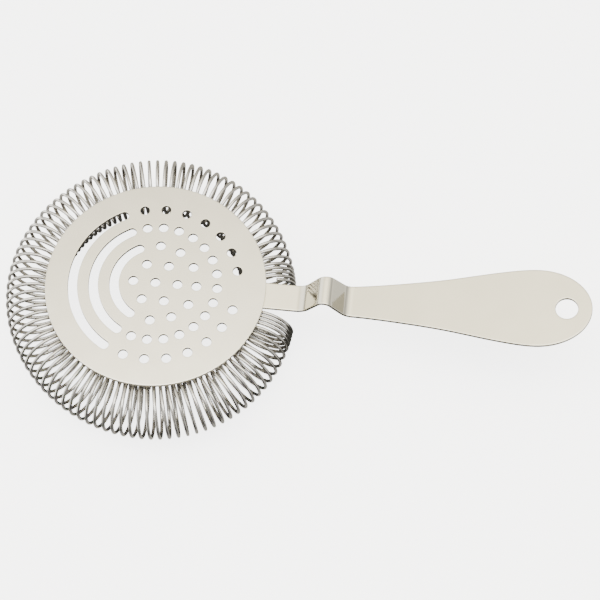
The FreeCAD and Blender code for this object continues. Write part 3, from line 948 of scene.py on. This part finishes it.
def studio_air():
    """A soft surround: bands of light by height, different on each of its four sides."""
    world = bpy.data.worlds.new("studio_air")
    world.use_nodes = True
    tree = world.node_tree
    tree.nodes.clear()

    def add(kind, **settings):
        node = tree.nodes.new("ShaderNode" + kind)
        for key, value in settings.items():
            setattr(node, key, value)
        return node

    split = add("SeparateXYZ")
    tree.links.new(add("TexCoord").outputs["Generated"], split.inputs["Vector"])

    def band(stops, tone=SIDE_TONE):
        height = add("MapRange")
        height.inputs["From Min"].default_value = -1.0
        tree.links.new(split.outputs["Z"], height.inputs["Value"])
        ramp = add("ValToRGB")
        ramp.color_ramp.interpolation = "EASE"
        while len(ramp.color_ramp.elements) < len(stops):
            ramp.color_ramp.elements.new(0.5)
        for stop, (level, light) in zip(ramp.color_ramp.elements, stops):
            stop.position = (level + 1) / 2
            stop.color = tuple(light * c for c in tone) + (1.0,)
        tree.links.new(height.outputs["Result"], ramp.inputs["Fac"])
        return ramp.outputs["Color"]

    def fade(value, low, high, a, b):
        turn = add("MapRange", interpolation_type="SMOOTHSTEP")
        turn.inputs["From Min"].default_value = low
        turn.inputs["From Max"].default_value = high
        tree.links.new(value, turn.inputs["Value"])
        both = add("Mix", data_type="RGBA")
        tree.links.new(turn.outputs["Result"], both.inputs["Factor"])
        tree.links.new(a, both.inputs["A"])
        tree.links.new(b, both.inputs["B"])
        return both.outputs["Result"]

    along = fade(split.outputs["Y"], -0.25, 0.15, band(SKY_NEAR), band(SKY_FAR, FAR_TONE))
    left = fade(split.outputs["X"], -0.8, -0.3, band(SKY_LEFT), along)
    whole = fade(split.outputs["X"], 0.3, 0.8, left, band(SKY_RIGHT))
    back = add("Background")
    back.inputs["Strength"].default_value = SKY_STRENGTH
    tree.links.new(whole, back.inputs["Color"])
    tree.links.new(back.outputs["Background"], add("OutputWorld").inputs["Surface"])
    return world


def shade_card(name, mesh, long, wide, at):
    """A card that only the steel sees: it is hidden from the camera and casts no shadow."""
    card = bpy.data.objects.new(name, mesh)
    card.scale = (long / FLOOR_REACH, wide / FLOOR_REACH, 1.0)
    card.location = (at[0], at[1], -UNDER_DEEP)
    card.visible_camera = False
    card.visible_diffuse = False
    card.visible_shadow = False
    bpy.context.scene.collection.objects.link(card)


# the camera turns a little about the upright and looks down steeply; distances are in mm
CAMERA_TURN, CAMERA_RISE = -0.10203, math.radians(64.628)
CAMERA_ASIDE, CAMERA_DOWN, CAMERA_AWAY = 49.2825, 6.0658, 640.0
SENSOR, LENS = 36.0, 112.73


def set_camera(scene):
    level = Vector((math.sin(CAMERA_TURN), math.cos(CAMERA_TURN), 0))
    right = Vector((math.cos(CAMERA_TURN), -math.sin(CAMERA_TURN), 0))
    up = level * math.sin(CAMERA_RISE) + Vector((0, 0, 1)) * math.cos(CAMERA_RISE)
    back = -level * math.cos(CAMERA_RISE) + Vector((0, 0, 1)) * math.sin(CAMERA_RISE)
    data = bpy.data.cameras.new("camera")
    data.sensor_width = SENSOR
    data.lens = LENS
    data.clip_start, data.clip_end = 0.01, 20.0
    camera = bpy.data.objects.new("camera", data)
    scene.collection.objects.link(camera)
    place = (right * CAMERA_ASIDE - up * CAMERA_DOWN + back * CAMERA_AWAY) * MM
    turn = Matrix((right, up, back)).transposed().to_4x4()
    camera.matrix_world = Matrix.Translation(place) @ turn
    scene.camera = camera


class STRAINER_OT_stage(bpy.types.Operator):
    """Lay the pale floor, hang the soft light and set the camera"""
    bl_idname = "strainer.stage"
    bl_label = "Stage"

    def execute(self, context):
        looks = context.scene.strainer_finishes
        ground = CAD_LOW.z - FLOOR_GAP
        points = [(*spot, ground) for spot in circle_loop(0, 0, FLOOR_REACH, FLOOR_SIDES)]
        mesh = bpy.data.meshes.new("studio_floor")
        mesh.from_pydata(points, [], [tuple(range(FLOOR_SIDES))])
        mesh.materials.append(studio_floor("floor_card", tuple(looks.floor)))
        floor = bpy.data.objects.new("studio_floor", mesh)
        # the steel mirrors the hidden cards and the sky, not this floor
        floor.visible_glossy = False
        floor.visible_diffuse = False
        floor.visible_shadow = False
        context.scene.collection.objects.link(floor)
        shade = mesh.copy()
        shade.materials[0] = shaded_floor("shaded_card", tuple(looks.under))
        shade_card("shade_under", shade, UNDER_REACH, UNDER_REACH, (0.0, 0.0))
        shade_card("shade_under_grip", shade, UNDER_GRIP_LONG, UNDER_GRIP_WIDE, UNDER_GRIP_AT)

        context.scene.world = studio_air()
        area_light("overhead_soft", (0.0, -0.12, 0.9), (0.0, 0.0, 0.0), (1.6, 0.5), 8.0)
        set_camera(context.scene)
        return {"FINISHED"}


# ---------------------------------------------------------------------------
# panel and registration
# ---------------------------------------------------------------------------

STEPS = (STRAINER_OT_stage, STRAINER_OT_plate, STRAINER_OT_handle, STRAINER_OT_spring,
         STRAINER_OT_lugs)
GROUPS = (("strainer_plate", PlateSizes), ("strainer_handle", HandleSizes),
          ("strainer_spring", SpringSizes), ("strainer_finishes", Finishes))


class STRAINER_PT_panel(bpy.types.Panel):
    """Sizes, finishes and build steps of the strainer"""
    bl_idname = "STRAINER_PT_panel"
    bl_label = "Hawthorne strainer"
    bl_space_type = "VIEW_3D"
    bl_region_type = "UI"
    bl_category = "Strainer"

    def draw(self, context):
        for step in STEPS:
            self.layout.operator(step.bl_idname)
        for name, group in GROUPS:
            box = self.layout.box()
            for key in group.__annotations__:
                box.prop(getattr(context.scene, name), key)


def register():
    for name, group in GROUPS:
        bpy.utils.register_class(group)
        setattr(bpy.types.Scene, name, bpy.props.PointerProperty(type=group))
    for step in STEPS:
        bpy.utils.register_class(step)
    bpy.utils.register_class(STRAINER_PT_panel)


def unregister():
    bpy.utils.unregister_class(STRAINER_PT_panel)
    for step in reversed(STEPS):
        bpy.utils.unregister_class(step)
    for name, group in reversed(GROUPS):
        delattr(bpy.types.Scene, name)
        bpy.utils.unregister_class(group)


def main():
    register()
    bpy.ops.strainer.stage()
    bpy.ops.strainer.plate()
    bpy.ops.strainer.handle()
    bpy.ops.strainer.spring()
    bpy.ops.strainer.lugs()


if __name__ == "__main__":
    main()
